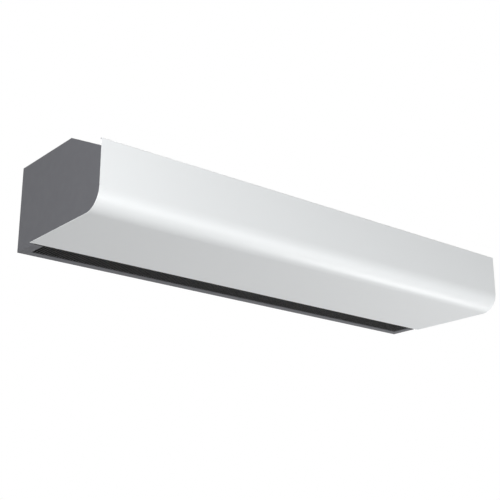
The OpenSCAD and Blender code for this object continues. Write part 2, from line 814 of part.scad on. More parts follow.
function mix(a, b, t) = a * (1 - t) + b * t;
function rounded(pts, r, n) = concat(
  [pts[0]],
  [for (i = [1:len(pts) - 2]) let(
      p = pts[i],
      u = (pts[i - 1] - p) / norm(pts[i - 1] - p),
      v = (pts[i + 1] - p) / norm(pts[i + 1] - p))
    for (k = [0:n]) let(t = k / n)
      mix(mix(p + u * r, p, t), mix(p, p + v * r, t), t)],
  [pts[len(pts) - 1]]
);
function tangent(p, i) =
  let(a = p[max(i - 1, 0)], b = p[min(i + 1, len(p) - 1)]) (b - a) / norm(b - a);
function unit(v) = v / norm(v);
function normals(p, i = 0, n = [0, 1, 0]) = i == len(p) ? [] :
  let(t = tangent(p, i), m = unit(n - t * (n * t))) concat([m], normals(p, i + 1, m));
function ring(c, t, n, r, sides) = let(b = cross(t, n))
  [for (k = [0:sides - 1]) c + r * (n * cos(360 * k / sides) + b * sin(360 * k / sides))];

module tube(path, r, sides, start_normal) {
  n = normals(path, 0, start_normal);
  last = len(path) - 1;
  points = [for (i = [0:last]) each ring(path[i], tangent(path, i), n[i], r, sides)];
  walls = [for (i = [0:last - 1], k = [0:sides - 1])
    let(a = i * sides + k, b = i * sides + (k + 1) % sides)
      each [[a, b, b + sides], [a, b + sides, a + sides]]];
  start_cap = [for (k = [1:sides - 2]) [0, k + 1, k]];
  end_cap = [for (k = [1:sides - 2]) [last * sides, last * sides + k, last * sides + k + 1]];
  polyhedron(points = points, faces = [for (f = concat(walls, start_cap, end_cap)) [f[2], f[1], f[0]]]);
}

function cable_route(i) = [
  [MOTOR_X[i], fan_y, motor_stub_z],
  [MOTOR_X[i], fan_y, cable_top_z],
  [MOTOR_X[i], CABLE_LANE[i], cable_top_z],
  [CABLE_DOWN_X[i], CABLE_LANE[i], cable_top_z],
  [CABLE_DOWN_X[i], CABLE_LANE[i], box_z + box_h + 34],
  [CABLE_DOWN_X[i], box_cable_y, box_z + box_h + 22],
  [CABLE_DOWN_X[i], box_cable_y, box_z + box_h - 20]
];

module motor_cable(i) {
  color("#1b1c1e") from_front()
    tube(rounded(cable_route(i), cable_bend, 5), cable_r, cable_sides, [0, 1, 0]);
}

module cable_clips() {
  reach = cable_r + cable_fit + clip_wall;
  color("#26282b") from_front() difference() {
    for (x = CLIP_X) translate([x - clip_w / 2, CABLE_LANE[0] - reach, cable_top_z - reach])
      cube([clip_w, CABLE_LANE[1] - CABLE_LANE[0] + 2 * reach, height - sheet_t - cable_top_z + reach]);
    for (x = CLIP_X, y = CABLE_LANE) translate([x + clip_w / 2, y, cable_top_z]) rotate([0, 90, 0])
      hole(cable_r + cable_fit, clip_w);
  }
}

// A rubber ring in a hole, with a lip on each face of the sheet
module grommet(hole_r, bore_r, sheet) {
  difference() {
    union() {
      translate([0, 0, -sheet - grommet_lip_h])
        cylinder(r = hole_r - press_fit, h = sheet + 2 * grommet_lip_h);
      for (z = [0, -sheet - grommet_lip_h]) translate([0, 0, z])
        cylinder(r = hole_r + grommet_lip, h = grommet_lip_h);
    }
    hole(bore_r, sheet);
  }
}

module box_grommets() {
  color("#1b1c1e") from_front() for (x = CABLE_DOWN_X)
    translate([x, box_cable_y, box_z + box_h]) grommet(box_grommet_r, cable_r + cable_fit, box_t);
}

module cable_grommets() {
  color("#1b1c1e") from_front() for (y = GROMMET_BACK)
    translate([grommet_x, depth - y, height]) grommet(grommet_hole_r, cable_hole_r, sheet_t);
}

// ---------------------------------------------------------------- casing fixings

module suspension_nuts() {
  color("#b9bcc0") from_front() for (s = [-1, 1], y = [rod_back, rod_back + rod_span_y])
    translate([s * rod_x, depth - y, height - sheet_t]) difference() {
      translate([0, 0, -rod_nut_h]) cylinder(r = rod_hole_r + rod_nut_wall, h = rod_nut_h);
      hole(rod_hole_r, rod_nut_h);
    }
}

module casing_rivets() {
  color("#9fa2a5") from_front() at_casing_rivets() {
    translate([0, 0, -2 * sheet_t]) cylinder(r = rivet_r, h = 2 * sheet_t);
    translate([0, 0, -2 * sheet_t - rivet_head_h]) cylinder(r = rivet_head_r, h = rivet_head_h);
  }
}

module grille_rivets() {
  color("#9fa2a5") from_front() at_slope_rivets() {
    translate([0, 0, -2 * sheet_t]) cylinder(r = rivet_r, h = 2 * sheet_t);
    cylinder(r = rivet_head_r, h = rivet_head_h);
  }
}

// ---------------------------------------------------------------- front cover

// The corner between front and underside, inset from the outside of the cover
module cover_outline(inset, back, top) {
  r = max(cover_bend_r - inset, 1);
  difference() {
    translate([inset, inset]) square([back - inset, top - inset]);
    translate([inset, inset]) difference() {
      square(r);
      translate([r, r]) circle(r);
    }
  }
}

module front_cover() {
  color("#e9ebeb") from_front() along_x(-cover_len / 2, cover_len) {
    difference() {
      cover_outline(0, cover_under, cover_top);
      cover_outline(cover_t, cover_under + 1, cover_top + 1);
    }
    translate([0, cover_top - cover_t]) square([cover_lip, cover_t]);
  }
}

// An angle: one leg on the inside of the cover, the other below the front rail
module cover_flange_profile() {
  spare = 2 * flange_reach;
  intersection() {
    union() {
      translate([cover_t, flange_low_z]) square([flange_sheet, slope_front_z - flange_low_z]);
      on_slope_2d() translate([-slope_len - 4, -sheet_t - flange_fit - flange_sheet])
        square([flange_reach + 4, flange_sheet]);
    }
    translate([cover_t, 0]) square([spare, cover_top]);
    on_slope_2d() translate([-slope_len - spare, -cover_top - sheet_t - flange_fit])
      square([2 * spare, cover_top]);
  }
}

module cover_flange() {
  color("#e1e3e3") from_front() difference() {
    along_x(-cover_flange_half, 2 * cover_flange_half) cover_flange_profile();
    on_slope() for (x = COVER_SCREW_X)
      translate([x, rail_screw_s, -sheet_t - flange_fit]) hole(cover_screw_r + screw_fit, flange_sheet);
  }
}

module cover_ribs() {
  color("#e1e3e3") from_front() for (x = [-rib_x, rib_x]) difference() {
    mid_x(x, rib_w) rib_profile(cover_t, cover_t + rib_h);
    mid_x(x, rib_w - 2 * rib_sheet) rib_profile(cover_t, cover_t + rib_h - rib_sheet);
  }
}

module rib_profile(outer, inner) {
  difference() {
    cover_outline(outer, rib_back, rib_top);
    cover_outline(inner, rib_back + 1, rib_top + 1);
  }
}

module cover_nuts() {
  color("#b9bcc0") from_front() on_slope() for (x = COVER_SCREW_X)
    translate([x, rail_screw_s, -sheet_t - flange_fit - flange_sheet]) difference() {
      translate([0, 0, -nut_h]) cylinder(r = nut_r, h = nut_h);
      hole(cover_screw_r + 0.1, nut_h);
    }
}

module cover_screws() {
  color("#8d9094") from_front() on_slope() for (x = COVER_SCREW_X)
    translate([x, rail_screw_s, 0]) screw(cover_screw_r, 8, 4.6, 3);
}

// ---------------------------------------------------------------- hinges

module cover_hinge_leaves() {
  side_w = (hinge_w - fixed_knuckle) / 2 - knuckle_gap;
  color("#c3c6c9") from_front() for (x = HINGE_X) {
    mid_x(x, hinge_w) translate([leaf_front, cover_t]) square([pin_y - knuckle_r - 2 - leaf_front, leaf_t]);
    for (s = [-1, 1]) mid_x(x + s * (hinge_w - side_w) / 2, side_w) difference() {
      union() {
        translate([pin_y, pin_z]) circle(knuckle_r);
        translate([leaf_front, cover_t]) square([pin_y - leaf_front, leaf_t]);
        translate([pin_y - knuckle_r, cover_t]) square([knuckle_r, pin_z - cover_t]);
      }
      translate([pin_y, pin_z]) circle(pin_r + pin_fit);
    }
  }
}

module fixed_hinge_leaves() {
  color("#c3c6c9") from_front() for (x = HINGE_X) {
    mid_x(x, fixed_knuckle) difference() {
      union() {
        translate([pin_y, pin_z]) circle(knuckle_r);
        translate([pin_y - leaf_t / 2, pin_z]) square([leaf_t, crank_z - pin_z + leaf_t]);
        translate([pin_y - leaf_t / 2, crank_z]) square([wall_front - pin_y + leaf_t / 2, leaf_t]);
      }
      translate([pin_y, pin_z]) circle(pin_r + pin_fit);
    }
    mid_x(x, hinge_w) translate([wall_front - leaf_t, crank_z]) square([leaf_t, leaf_h]);
  }
}

module hinge_pins() {
  color("#d4d6d8") from_front() for (x = HINGE_X)
    translate([x - hinge_w / 2, pin_y, pin_z]) rotate([0, 90, 0]) cylinder(r = pin_r, h = hinge_w);
}

// ---------------------------------------------------------------- pieces

rear_casing();
end_panel(-1);  // left_end_panel
end_panel(1);  // right_end_panel
front_rail();
intake_grille();
outlet_frame();
outlet_grille();
outlet_wall();
fan_deck();
for (f = [0:3]) {
  scroll_housing(FAN_X[f]);
  impeller(FAN_X[f]);
}
for (m = [0, 1]) {
  motor_housing(m);
  stator(m);
  motor_shaft(m);
  rotor_core(m);
  hub_screws(m);
  motor_cradle(m);
  motor_cable(m);
}
motor_bearings();
motor_straps();
strap_screws();
fan_screws();
control_box();
control_box_lid();
lid_screws();
control_board();
terminal_block();
transformer();
motor_capacitors();
cable_clips();
box_grommets();
cable_grommets();
suspension_nuts();
casing_rivets();
grille_rivets();
outlet_screws();
front_cover();
cover_flange();
cover_ribs();
cover_nuts();
cover_screws();
cover_hinge_leaves();
fixed_hinge_leaves();
hinge_pins();
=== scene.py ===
"""Air curtain: the look of every piece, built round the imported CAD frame.

Metres, in the frame's own axes: X runs along the unit, Y points back to the wall, Z points up.
"""
import json
import math

import bmesh
import bpy
from mathutils import Matrix, Vector


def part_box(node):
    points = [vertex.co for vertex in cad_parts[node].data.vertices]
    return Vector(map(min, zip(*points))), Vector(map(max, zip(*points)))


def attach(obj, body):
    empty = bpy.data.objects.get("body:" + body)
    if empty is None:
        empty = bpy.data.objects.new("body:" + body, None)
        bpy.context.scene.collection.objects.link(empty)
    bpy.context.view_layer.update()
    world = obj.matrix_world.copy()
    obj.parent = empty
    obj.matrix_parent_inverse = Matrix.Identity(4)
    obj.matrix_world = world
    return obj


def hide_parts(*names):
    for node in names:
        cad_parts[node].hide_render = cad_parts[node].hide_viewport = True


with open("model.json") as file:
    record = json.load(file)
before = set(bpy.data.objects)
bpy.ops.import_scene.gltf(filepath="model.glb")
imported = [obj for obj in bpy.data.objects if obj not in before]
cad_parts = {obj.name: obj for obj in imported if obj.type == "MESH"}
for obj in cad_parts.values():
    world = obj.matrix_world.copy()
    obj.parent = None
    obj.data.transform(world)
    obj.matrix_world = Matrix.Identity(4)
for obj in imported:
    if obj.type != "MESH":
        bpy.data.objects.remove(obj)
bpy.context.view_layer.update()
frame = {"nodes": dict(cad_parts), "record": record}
NODES = frame["nodes"]
scene = bpy.context.scene


# ---------------------------------------------------------------- materials

class Shader:
    """A node material with one Principled shader; every texture reads the object's own coordinates."""

    def __init__(self, name, **sockets):
        self.material = bpy.data.materials.new(name)
        self.material.use_nodes = True
        self.tree = self.material.node_tree
        self.bsdf = self.tree.nodes["Principled BSDF"]
        self.coords = self.tree.nodes.new("ShaderNodeTexCoord").outputs["Object"]
        for socket, value in sockets.items():
            self.bsdf.inputs[socket.replace("_", " ")].default_value = value

    def node(self, kind, links=None, values=None, **settings):
        node = self.tree.nodes.new("ShaderNode" + kind)
        for key, value in settings.items():
            setattr(node, key, value)
        for key, value in (values or {}).items():
            node.inputs[key].default_value = value
        for key, source in (links or {}).items():
            self.tree.links.new(source, node.inputs[key])
        return node

    def stretched(self, scale):
        return self.node("Mapping", {"Vector": self.coords}, {"Scale": scale}).outputs[0]

    def noise(self, scale, detail=2.0, rough=0.5, vector=None):
        node = self.node("TexNoise", {"Vector": vector or self.coords},
                         {"Scale": scale, "Detail": detail, "Roughness": rough})
        return node.outputs["Fac"]

    def cells(self, scale, vector=None, **settings):
        return self.node("TexVoronoi", {"Vector": vector or self.coords}, {"Scale": scale}, **settings)

    def spread(self, source, low, high, out_low, out_high):
        """Maps low..high of a texture onto out_low..out_high."""
        node = self.node("MapRange", {"Value": source},
                         {"From Min": low, "From Max": high, "To Min": out_low, "To Max": out_high})
        return node.outputs["Result"]

    def ramp(self, source, *stops):
        node = self.node("ValToRGB", {"Fac": source})
        ramp = node.color_ramp
        while len(ramp.elements) < len(stops):
            ramp.elements.new(0.5)
        for element, (place, colour) in zip(ramp.elements, stops):
            element.position = place
            element.color = (*colour, 1.0)
        return node.outputs["Color"]

    def bump(self, source, distance, strength=1.0, after=None):
        links = {"Height": source}
        if after is not None:
            links["Normal"] = after
        node = self.node("Bump", links, {"Strength": strength, "Distance": distance})
        return node.outputs["Normal"]

    def feed(self, socket, source):
        self.tree.links.new(source, self.bsdf.inputs[socket])


def shade(colour, factor):
    return tuple(c * factor for c in colour)


def powder_coat(name, colour, rough, peel, grain=0.0, tint=0.03, gloss=0.5):
    """Powder coat: broad orange peel, fine grain, and a slight drift of colour and gloss."""
    s = Shader(name, Specular_IOR_Level=gloss)
    drift = s.noise(3.0, detail=3.0)
    speck = s.noise(1400.0, detail=1.0)
    mixed = s.node("Mix", {"Factor": s.spread(speck, 0.3, 0.7, 0.0, 1.0)}, data_type="RGBA")
    s.tree.links.new(s.ramp(drift, (0.3, shade(colour, 1 - tint)), (0.7, colour)), mixed.inputs["A"])
    s.tree.links.new(s.ramp(drift, (0.3, colour), (0.7, shade(colour, 1 + tint))), mixed.inputs["B"])
    s.feed("Base Color", mixed.outputs["Result"])
    s.feed("Roughness", s.spread(s.noise(40.0, detail=4.0), 0.3, 0.7, rough - 0.03, rough + 0.03))
    normal = s.bump(s.noise(380.0, detail=1.0), peel, 0.5)
    if grain:
        normal = s.bump(s.noise(1700.0, detail=2.0), grain, 0.7, after=normal)
    s.feed("Normal", normal)
    return s.material


def galvanised(name, scale=105.0, level=0.52):
    """Zinc-coated sheet: crystal spangles that differ in tone, gloss and tilt."""
    s = Shader(name, Metallic=1.0)
    warp = s.noise(30.0, detail=2.0)
    moved = s.node("VectorMath", {0: s.coords, 1: s.spread(warp, 0.0, 1.0, 0.0, 0.012)}, operation="ADD")
    flakes = s.cells(scale, moved.outputs[0], feature="F1")
    tone = s.node("SeparateColor", {"Color": flakes.outputs["Color"]})
    cool = (level * 0.95, level * 0.98, level * 1.0)
    tones = s.ramp(tone.outputs[0], (0.0, shade(cool, 0.86)), (0.55, cool), (1.0, shade(cool, 1.14)))
    s.feed("Base Color", tones)
    s.feed("Roughness", s.spread(tone.outputs[1], 0.0, 1.0, 0.34, 0.52))
    edges = s.cells(scale, moved.outputs[0], feature="DISTANCE_TO_EDGE")
    s.feed("Normal", s.bump(s.spread(edges.outputs["Distance"], 0.0, 0.08, 0.0, 1.0), 0.00004, 0.4))
    return s.material


def painted_light_by_height(name, low, high, from_z, to_z, rough, gloss=0.5):
    """Colour that turns from one colour to another with height, used to paint highlight and shade, with a
    fine grain.
    """
    s = Shader(name, Specular_IOR_Level=gloss)
    height = s.node("SeparateXYZ", {0: s.coords}).outputs["Z"]
    paint = s.ramp(s.spread(height, from_z, to_z, 0.0, 1.0), (0.0, low), (1.0, high))
    grain = s.ramp(s.noise(900.0), (0.35, (0.0, 0.0, 0.0)), (0.65, (1.0, 1.0, 1.0)))
    uneven = s.node("MixRGB", {1: paint, 2: grain}, {0: 0.06}, blend_type="MULTIPLY")
    s.feed("Base Color", uneven.outputs[0])
    s.feed("Roughness", s.spread(s.noise(40.0, detail=4.0), 0.3, 0.7, rough - 0.04, rough + 0.04))
    s.feed("Normal", s.bump(s.noise(1700.0, detail=2.0), 0.00003, 0.6))
    return s.material


def turned_steel(name, colour, rough, grain=(6.0, 900.0, 900.0)):
    """Machined steel with fine tool marks; grain gives their scale along each axis."""
    s = Shader(name, Metallic=1.0)
    marks = s.noise(1.0, detail=3.0, rough=0.6, vector=s.stretched(grain))
    s.feed("Base Color", s.ramp(marks, (0.3, shade(colour, 0.85)), (0.7, colour)))
    s.feed("Roughness", s.spread(marks, 0.3, 0.7, rough - 0.05, rough + 0.08))
    s.feed("Normal", s.bump(marks, 0.00002, 0.3))
    return s.material


def zinc_plate(name):
    """Bright zinc plating with the faint colours of its passivation."""
    s = Shader(name, Metallic=1.0)
    bloom = s.noise(120.0, detail=3.0)
    blue, plain, yellow = (0.60, 0.62, 0.66), (0.70, 0.70, 0.68), (0.66, 0.63, 0.60)
    s.feed("Base Color", s.ramp(bloom, (0.3, blue), (0.5, plain), (0.7, yellow)))
    s.feed("Roughness", s.spread(s.noise(600.0), 0.3, 0.7, 0.24, 0.40))
    return s.material


def moulded(name, colour, rough, grain=0.00002, tint=0.1):
    """Moulded plastic or rubber: fine spark-eroded grain and soft flow marks."""
    s = Shader(name)
    flow = s.noise(18.0, detail=4.0, rough=0.6)
    s.feed("Base Color", s.ramp(flow, (0.3, shade(colour, 1 - tint)), (0.7, shade(colour, 1 + tint))))
    s.feed("Roughness", s.spread(s.noise(90.0, detail=3.0), 0.3, 0.7, rough - 0.06, rough + 0.06))
    s.feed("Normal", s.bump(s.noise(2200.0, detail=1.0), grain, 0.6))
    return s.material


def laminated(name, colour):
    """Stacked iron sheets, seen as fine lines across X."""
    s = Shader(name, Metallic=0.8)
    lines = s.node("TexWave", {"Vector": s.coords}, {"Scale": 320.0, "Distortion": 0.3}, bands_direction="X")
    s.feed("Base Color", s.ramp(lines.outputs["Fac"], (0.2, shade(colour, 0.7)), (0.8, colour)))
    s.feed("Roughness", s.spread(s.noise(150.0), 0.3, 0.7, 0.45, 0.62))
    s.feed("Normal", s.bump(lines.outputs["Fac"], 0.0001, 0.6))
    return s.material


def circuit_green(name):
    """Solder mask over copper tracks: a fine square maze of slightly raised lines."""
    s = Shader(name, Roughness=0.32, Coat_Weight=0.3, Coat_Roughness=0.15)
    tracks = s.cells(220.0, distance="CHEBYCHEV", feature="F1")
    edge = s.spread(tracks.outputs["Distance"], 0.42, 0.50, 0.0, 1.0)
    s.feed("Base Color", s.ramp(edge, (0.0, (0.012, 0.10, 0.035)), (1.0, (0.03, 0.17, 0.06))))
    s.feed("Normal", s.bump(edge, 0.00004, 0.5))
    return s.material


WHITE = (0.803, 0.822, 0.830)
GREY = (0.114, 0.116, 0.128)
BLACK = (0.018, 0.018, 0.019)
LOOKS = {
    "white_paint": powder_coat("white powder coat", WHITE, 0.34, 0.00002, tint=0.006),
    "grey_paint": powder_coat("grey powder coat", GREY, 0.55, 0.00003, grain=0.00003, tint=0.03, gloss=0.3),
    "grille_paint": powder_coat("intake powder coat", shade(GREY, 0.85), 0.55, 0.00003, grain=0.00003,
                                gloss=0.3),
    "black_paint": powder_coat("matt black", BLACK, 0.5, 0.00003, grain=0.00003, tint=0.1),
    "galvanised": galvanised("galvanised sheet"),
    "fan_plastic": moulded("fan wheel plastic", (0.028, 0.030, 0.033), 0.42),
    "motor_paint": powder_coat("motor enamel", (0.040, 0.046, 0.056), 0.36, 0.00005, tint=0.08),
    "iron_core": laminated("motor iron", (0.30, 0.30, 0.31)),
    "bright_steel": turned_steel("turned steel", (0.62, 0.62, 0.63), 0.26),
    "zinc_screws": zinc_plate("zinc plated steel"),
    "board_green": circuit_green("circuit board"),
    "pale_plastic": moulded("pale plastic", (0.62, 0.62, 0.58), 0.45, tint=0.04),
    "dark_plastic": moulded("dark plastic", (0.035, 0.035, 0.038), 0.5),
    "cable_rubber": moulded("cable rubber", (0.018, 0.018, 0.019), 0.62, grain=0.00004),
}
# The outlet is painted darker inside than at its face: painted shade in the throat and between the fins, and
# a painted highlight on the fins' lower edges; the heights are where its paint turns
FIN_EDGE_HIGHLIGHT, FIN_SHADE_BLACK, THROAT_SHADE_BLACK = (0.098, 0.098, 0.098), (0.004, 0.004, 0.0045), (0.010, 0.010, 0.011)
FIN_TURN_Z = (0.00145, 0.00165)
THROAT_TURN_Z = (0.0012, 0.0014)
# fins: a painted highlight along their lower edges, and painted shade higher up between them
FINS = painted_light_by_height("black fins, painted edge highlight and shade", FIN_EDGE_HIGHLIGHT, FIN_SHADE_BLACK, *FIN_TURN_Z, 0.5)
# throat: the plate keeps its grey face and is painted near-black higher up, as painted shade inside the
# outlet
THROAT = painted_light_by_height("grey plate, painted shade in throat", GREY, THROAT_SHADE_BLACK, *THROAT_TURN_Z, 0.55, gloss=0.3)
SLOT_OF = {part["node"]: part["material_slot"] for part in frame["record"]["subparts"]}


# ---------------------------------------------------------------- CAD nodes

def joined_mesh_group():
    """Geometry nodes: joins the split corners of an imported mesh and drops its stored normals."""
    group = bpy.data.node_groups.new("join corners", "GeometryNodeTree")
    group.interface.new_socket("Geometry", in_out="INPUT", socket_type="NodeSocketGeometry")
    group.interface.new_socket("Geometry", in_out="OUTPUT", socket_type="NodeSocketGeometry")
    start, end = group.nodes.new("NodeGroupInput"), group.nodes.new("NodeGroupOutput")
    merge = group.nodes.new("GeometryNodeMergeByDistance")
    merge.inputs["Distance"].default_value = 2e-6
    drop = group.nodes.new("GeometryNodeRemoveAttribute")
    drop.inputs["Name"].default_value = "custom_normal"
    smooth = group.nodes.new("GeometryNodeSetShadeSmooth")
    group.links.new(start.outputs[0], merge.inputs[0])
    group.links.new(merge.outputs[0], drop.inputs[0])
    group.links.new(drop.outputs[0], smooth.inputs[0])
    group.links.new(smooth.outputs[0], end.inputs[0])
    return group


def sharp_edges_group(angle):
    """Geometry nodes: shades faces smooth and marks edges sharper than angle as sharp."""
    group = bpy.data.node_groups.new("smooth by angle", "GeometryNodeTree")
    group.interface.new_socket("Geometry", in_out="INPUT", socket_type="NodeSocketGeometry")
    group.interface.new_socket("Geometry", in_out="OUTPUT", socket_type="NodeSocketGeometry")
    start, end = group.nodes.new("NodeGroupInput"), group.nodes.new("NodeGroupOutput")
    faces = group.nodes.new("GeometryNodeSetShadeSmooth")
    edges = group.nodes.new("GeometryNodeSetShadeSmooth")
    edges.domain = "EDGE"
    bend = group.nodes.new("GeometryNodeInputMeshEdgeAngle")
    below = group.nodes.new("ShaderNodeMath")
    below.operation = "LESS_THAN"
    below.inputs[1].default_value = angle
    group.links.new(bend.outputs["Unsigned Angle"], below.inputs[0])
    group.links.new(below.outputs[0], edges.inputs["Shade Smooth"])
    group.links.new(start.outputs[0], faces.inputs[0])
    group.links.new(faces.outputs[0], edges.inputs[0])
    group.links.new(edges.outputs[0], end.inputs[0])
    return group


SHARP_ANGLE = math.radians(35)
FLAT_ANGLE = math.radians(0.5)
JOIN_CORNERS = joined_mesh_group()
SMOOTH_BY_ANGLE = sharp_edges_group(SHARP_ANGLE)


def add_nodes(piece, group):
    """Puts a geometry nodes group on a piece as a modifier."""
    modifier = piece.modifiers.new(group.name, "NODES")
    modifier.node_group = group


def soften(piece, width):
    """Rounds the edges of a piece by modifiers, and keeps its flat faces flat."""
    add_nodes(piece, JOIN_CORNERS)
    flat = piece.modifiers.new("flat faces", "DECIMATE")
    flat.decimate_type = "DISSOLVE"
    flat.angle_limit = FLAT_ANGLE
    bevel = piece.modifiers.new("soft edges", "BEVEL")
    bevel.width = width
    bevel.segments = 2
    bevel.limit_method = "ANGLE"
    bevel.angle_limit = SHARP_ANGLE
    bevel.use_clamp_overlap = True
    add_nodes(piece, SMOOTH_BY_ANGLE)
    normals = piece.modifiers.new("flat normals", "WEIGHTED_NORMAL")
    normals.keep_sharp = True


def dress(piece, slot):
    """Gives a piece the finish of its slot."""
    piece.data.materials.clear()
    piece.data.materials.append(LOOKS[slot])


# Widths of the rounded edges, by finish
EDGE_ROUND = {"zinc_screws": 0.0003, "fan_plastic": 0.0002, "grey_paint": 0.0005, "black_paint": 0.0002}
OTHER_EDGE_ROUND = 0.0004
for node_name, node_object in NODES.items():
    slot_name = SLOT_OF[node_name]
    dress(node_object, slot_name)
    if node_name.startswith("motor_cable"):
        add_nodes(node_object, JOIN_CORNERS)
        rounder = node_object.modifiers.new("round", "SUBSURF")
        rounder.levels = rounder.render_levels = 1
    else:
        soften(node_object, EDGE_ROUND.get(slot_name, OTHER_EDGE_ROUND))
# the outlet frame's throat is painted near-black above its face, as painted shade
NODES["outlet_frame"].data.materials[0] = THROAT


# ---------------------------------------------------------------- pieces

def new_piece(name, mesh_builder, slot, body, replaced=()):
    """A mesh object that rides on a body, takes a finish and may stand for CAD nodes."""
    mesh = bpy.data.meshes.new(name)
    builder = bmesh.new()
    mesh_builder(builder)
    bmesh.ops.recalc_face_normals(builder, faces=builder.faces)
    builder.to_mesh(mesh)
    builder.free()
    piece = bpy.data.objects.new(name, mesh)
    scene.collection.objects.link(piece)
    piece.data.materials.append(LOOKS[slot])
    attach(piece, body)
    if replaced:
        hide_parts(*replaced)
    return piece


def arc(centre, radius, start, end, steps):
    """Points on an arc in the YZ plane; angles in degrees, 0 along +Y, 90 along +Z."""
    turns = [math.radians(start + (end - start) * i / steps) for i in range(steps + 1)]
    return [(centre[0] + radius * math.cos(a), centre[1] + radius * math.sin(a)) for a in turns]


def extrude_x(builder, outline, x0, x1):
    """A prism along X over a closed outline of (y, z) points, with closed ends."""
    left = [builder.verts.new((x0, y, z)) for y, z in outline]
    right = [builder.verts.new((x1, y, z)) for y, z in outline]
    count = len(outline)
    for i in range(count):
        j = (i + 1) % count
        builder.faces.new((left[i], left[j], right[j], right[i]))
    builder.faces.new(left)
    builder.faces.new(right[::-1])


# Front cover: one bent sheet from the underside round the front to a folded top edge
cover_lo, cover_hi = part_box("front_cover")
SHEET = 0.0012
BEND_R = 0.060
LIP = 0.008
FOLD_R = 0.0022
BEND_STEPS, FOLD_STEPS = 32, 6
COVER_EDGE = 0.00035
SHEET_EDGE = 0.0003


def cover_section():
    """The cover's sheet from the rear edge of its underside round the bend to its folded top edge."""
    front, back, top = cover_lo.y, cover_hi.y, cover_hi.z
    bend = (front + BEND_R, BEND_R)
    fold = (front + FOLD_R, top - FOLD_R)
    outer = [(back, 0.0)]
    outer += arc(bend, BEND_R, 270, 180, BEND_STEPS)
    outer += arc(fold, FOLD_R, 180, 90, FOLD_STEPS)
    outer += [(front + LIP, top)]
    inner = [(front + LIP, top - SHEET)]
    inner += arc(fold, FOLD_R - SHEET, 90, 180, FOLD_STEPS)
    inner += arc(bend, BEND_R - SHEET, 180, 270, BEND_STEPS)
    inner += [(back, SHEET)]
    return outer + inner


cover_skin = new_piece(
    "cover_skin", lambda b: extrude_x(b, cover_section(), cover_lo.x, cover_hi.x),
    "white_paint", "cover", ["front_cover"])
soften(cover_skin, COVER_EDGE)


def add_plate(builder, polygons, place, thickness):
    """A sheet over flat polygons of (u, v) points; place turns (u, v, depth) into a point of the part."""
    known, rim = {}, set()

    def corner(key, depth):
        if (key, depth) not in known:
            known[key, depth] = builder.verts.new(place(key[0], key[1], depth))
        return known[key, depth]

    for polygon in polygons:
        keys = [(round(u, 6), round(v, 6)) for u, v in polygon]
        builder.faces.new([corner(key, 0.0) for key in keys])
        builder.faces.new([corner(key, thickness) for key in reversed(keys)])
        for edge in zip(keys, keys[1:] + keys[:1]):
            if edge[::-1] in rim:
                rim.remove(edge[::-1])
            else:
                rim.add(edge)
    for a, b in sorted(rim):
        builder.faces.new((corner(b, 0.0), corner(a, 0.0), corner(a, thickness), corner(b, thickness)))


def mirrored(polygon, flip_u, flip_v):
    """A polygon mirrored about the axes, still counterclockwise."""
    turned = [(-u if flip_u else u, -v if flip_v else v) for u, v in polygon]
    return turned[::-1] if flip_u != flip_v else turned


def revolve_x(builder, profile, axis, middle_x, steps=72):
    """A closed ring from a closed loop of (x, radius) points turned about a line along X at axis (y, z)."""
    rings = []
    for i in range(steps):
        turn = 2 * math.pi * i / steps
        across, up = math.cos(turn), math.sin(turn)
        rings.append([builder.verts.new((middle_x + x, axis[0] + r * across, axis[1] + r * up))
                      for x, r in profile])
    count = len(profile)
    for ring, following in zip(rings, rings[1:] + rings[:1]):
        for i in range(count):
            j = (i + 1) % count
            builder.faces.new((ring[i], ring[j], following[j], following[i]))


# Outlet grille: fins with a rounded nose on their lower edge
grille_lo, grille_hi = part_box("outlet_grille")
FIN_PITCH = 0.009
FIN_HALF = 0.0005
NOSE_HALF = 0.0009
NOSE_REACH = 4 * NOSE_HALF
RAIL = 0.003
RAIL_RISE = 0.0006
COUNT_SLACK = 1e-3


def fin_outline():
    """One fin's section as (x, z), from its nose up."""
    bottom, top = grille_lo.z, grille_hi.z
    nose = [(NOSE_HALF * math.cos(a), bottom + NOSE_HALF + NOSE_HALF * math.sin(a))
            for a in [math.radians(180 + 30 * i) for i in range(7)]]
    return nose + [(FIN_HALF, bottom + NOSE_REACH), (FIN_HALF, top), (-FIN_HALF, top),
                   (-FIN_HALF, bottom + NOSE_REACH)]


def build_outlet_fins(builder):
    """All fins of the outlet between two long rails and two end rails."""
    x0, x1, y0, y1 = grille_lo.x, grille_hi.x, grille_lo.y, grille_hi.y
    cells = math.floor((x1 - x0 - 2 * RAIL - 2 * FIN_HALF) / FIN_PITCH + COUNT_SLACK)
    end = cells * FIN_PITCH / 2
    outline = fin_outline()
    for i in range(cells + 1):
        middle = -end + i * FIN_PITCH
        front = [builder.verts.new((middle + x, y0 + RAIL / 2, z)) for x, z in outline]
        rear = [builder.verts.new((middle + x, y1 - RAIL / 2, z)) for x, z in outline]
        for j in range(len(outline)):
            k = (j + 1) % len(outline)
            builder.faces.new((front[j], front[k], rear[k], rear[j]))
        builder.faces.new(front)
        builder.faces.new(rear[::-1])
    low, high = grille_lo.z + RAIL_RISE, grille_hi.z
    for a, b in ((y0, y0 + RAIL), (y1 - RAIL, y1)):
        extrude_x(builder, [(a, low), (b, low), (b, high), (a, high)], x0, x1)
    end_rail = [(y0 + RAIL, low), (y1 - RAIL, low), (y1 - RAIL, high), (y0 + RAIL, high)]
    for a, b in ((x0, -end), (end, x1)):
        extrude_x(builder, end_rail, a, b)


outlet_fins = new_piece("outlet_fins", build_outlet_fins, "black_paint", "casing", ["outlet_grille"])
# the fins take the painted highlight on their lower edges and the painted shade above them
outlet_fins.data.materials[0] = FINS
add_nodes(outlet_fins, SMOOTH_BY_ANGLE)

